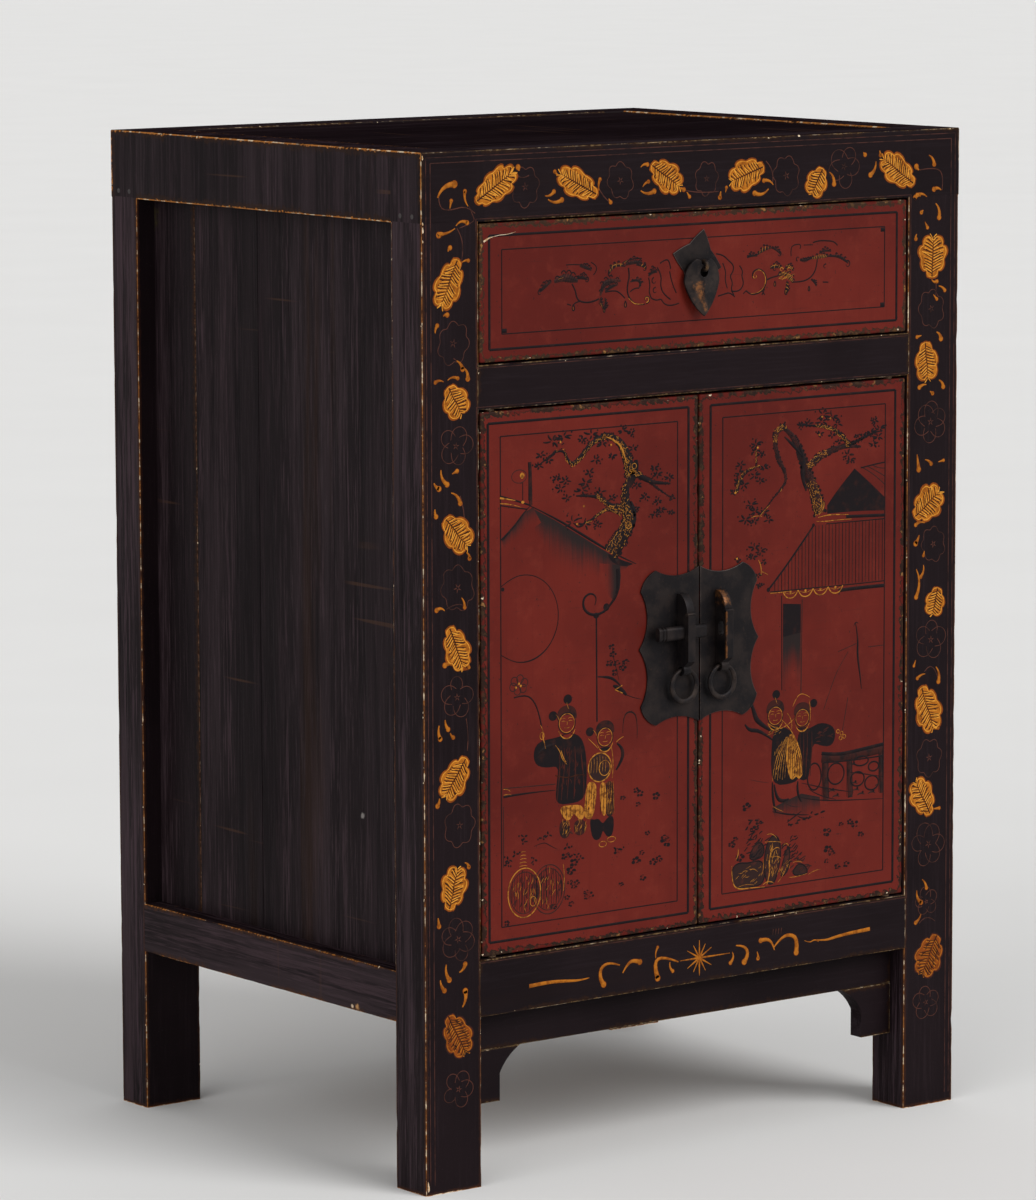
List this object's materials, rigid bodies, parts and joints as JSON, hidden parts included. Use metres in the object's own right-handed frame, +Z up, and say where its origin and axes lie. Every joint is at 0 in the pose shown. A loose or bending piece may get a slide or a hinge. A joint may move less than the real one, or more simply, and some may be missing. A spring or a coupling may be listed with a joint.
{
  "type": "side cabinet",
  "caption": "Lacquered side cabinet on straight legs: a drawer over a pair of pivot-hung doors, with a pendant pull, ring pulls and a sliding lock bar.",
  "frame": {"origin": "on the floor, midway between the sides and midway between the lock's front edge and the back of the back posts", "axes": "+X to the right when facing the doors, +Y from the doors to the back, +Z up"},
  "size_m": [0.566, 0.4572, 0.84],
  "materials": {
    "black_lacquer": "black lacquer with a soft sheen, worn brown along its edges",
    "worn_black_wood": "matt black paint rubbed along the grain, brown at the arrises",
    "matt_black_top": "dull black lacquer, rubbed and dusty",
    "red_lacquer": "cinnabar red lacquer, satin, rubbed brown round the rim",
    "gilt_paint": "painted gilt ornament, slightly raised",
    "dark_brass": "brass with a near-black patina, worn bright where it is handled",
    "bare_wood": "unpainted softwood, aged"
  },
  "bodies": {
    "carcass": {"mid_rail_front": "black_lacquer", "mid_rail_back": "bare_wood", "lower_rail_front": "black_lacquer", "lower_rail_back": "black_lacquer", "post_front_left": "black_lacquer", "post_front_right": "black_lacquer", "post_back_left": "black_lacquer", "post_back_right": "black_lacquer", "top_rail_front": "black_lacquer", "top_rail_back": "black_lacquer", "top_rail_left": "worn_black_wood", "top_rail_right": "worn_black_wood", "lower_rail_left": "worn_black_wood", "lower_rail_right": "worn_black_wood", "top_batten_left": "bare_wood", "top_batten_right": "bare_wood", "drawer_runner_left": "bare_wood", "drawer_runner_right": "bare_wood", "drawer_guide_left": "bare_wood", "drawer_guide_right": "bare_wood", "spandrel_left": "black_lacquer", "spandrel_right": "black_lacquer", "side_board_left_front": "worn_black_wood", "side_board_right_front": "worn_black_wood", "side_board_left_middle": "worn_black_wood", "side_board_right_middle": "worn_black_wood", "side_board_left_rear": "worn_black_wood", "side_board_right_rear": "worn_black_wood", "back_board_1": "bare_wood", "back_board_2": "bare_wood", "back_board_3": "bare_wood", "top_board": "matt_black_top", "floor_board": "bare_wood", "apron_board": "black_lacquer", "frame_pegs": "bare_wood", "door_stops": "bare_wood"},
    "drawer": {"drawer_front": "red_lacquer", "drawer_side_left": "bare_wood", "drawer_side_right": "bare_wood", "drawer_back": "bare_wood", "drawer_bottom": "bare_wood", "pull_plate": "dark_brass", "pull_pin": "dark_brass"},
    "pull_pendant": {"pull_pendant": "dark_brass"},
    "left_door": {"left_door_board": "red_lacquer", "left_door_batten_top": "bare_wood", "left_door_batten_bottom": "bare_wood", "left_door_pivots": "bare_wood", "left_lock_plate": "dark_brass", "left_lug": "dark_brass"},
    "right_door": {"right_door_board": "red_lacquer", "right_door_batten_top": "bare_wood", "right_door_batten_bottom": "bare_wood", "right_door_pivots": "bare_wood", "right_lock_plate": "dark_brass", "right_lug": "dark_brass"},
    "left_ring": {"left_ring": "dark_brass"},
    "right_ring": {"right_ring": "dark_brass"},
    "lock_bar": {"lock_bar": "dark_brass"}
  },
  "joints": [
    {"name": "drawer_slide", "type": "slide", "parent": "carcass", "child": "drawer", "axis": [0, -1, 0], "range_m": [0, 0.25]},
    {"name": "pendant_hinge", "type": "hinge", "parent": "drawer", "child": "pull_pendant", "pos_m": [-0.0008, -0.2201, 0.7376], "axis": [-1, 0, 0], "range_deg": [-6, 115]},
    {"name": "left_door_hinge", "type": "hinge", "parent": "carcass", "child": "left_door", "pos_m": [-0.2109, -0.2054, 0.425], "axis": [0, 0, -1], "range_deg": [0, 110]},
    {"name": "right_door_hinge", "type": "hinge", "parent": "carcass", "child": "right_door", "pos_m": [0.2109, -0.2054, 0.425], "axis": [0, 0, 1], "range_deg": [0, 110]},
    {"name": "left_ring_hinge", "type": "hinge", "parent": "left_door", "child": "left_ring", "pos_m": [-0.0202, -0.2186, 0.4056], "axis": [-1, 0, 0], "range_deg": [-4, 120]},
    {"name": "right_ring_hinge", "type": "hinge", "parent": "right_door", "child": "right_ring", "pos_m": [0.0202, -0.2186, 0.4056], "axis": [-1, 0, 0], "range_deg": [-4, 120]},
    {"name": "lock_bar_slide", "type": "slide", "parent": "left_door", "child": "lock_bar", "axis": [1, 0, 0], "range_m": [-0.014, 0.026]}
  ]
}
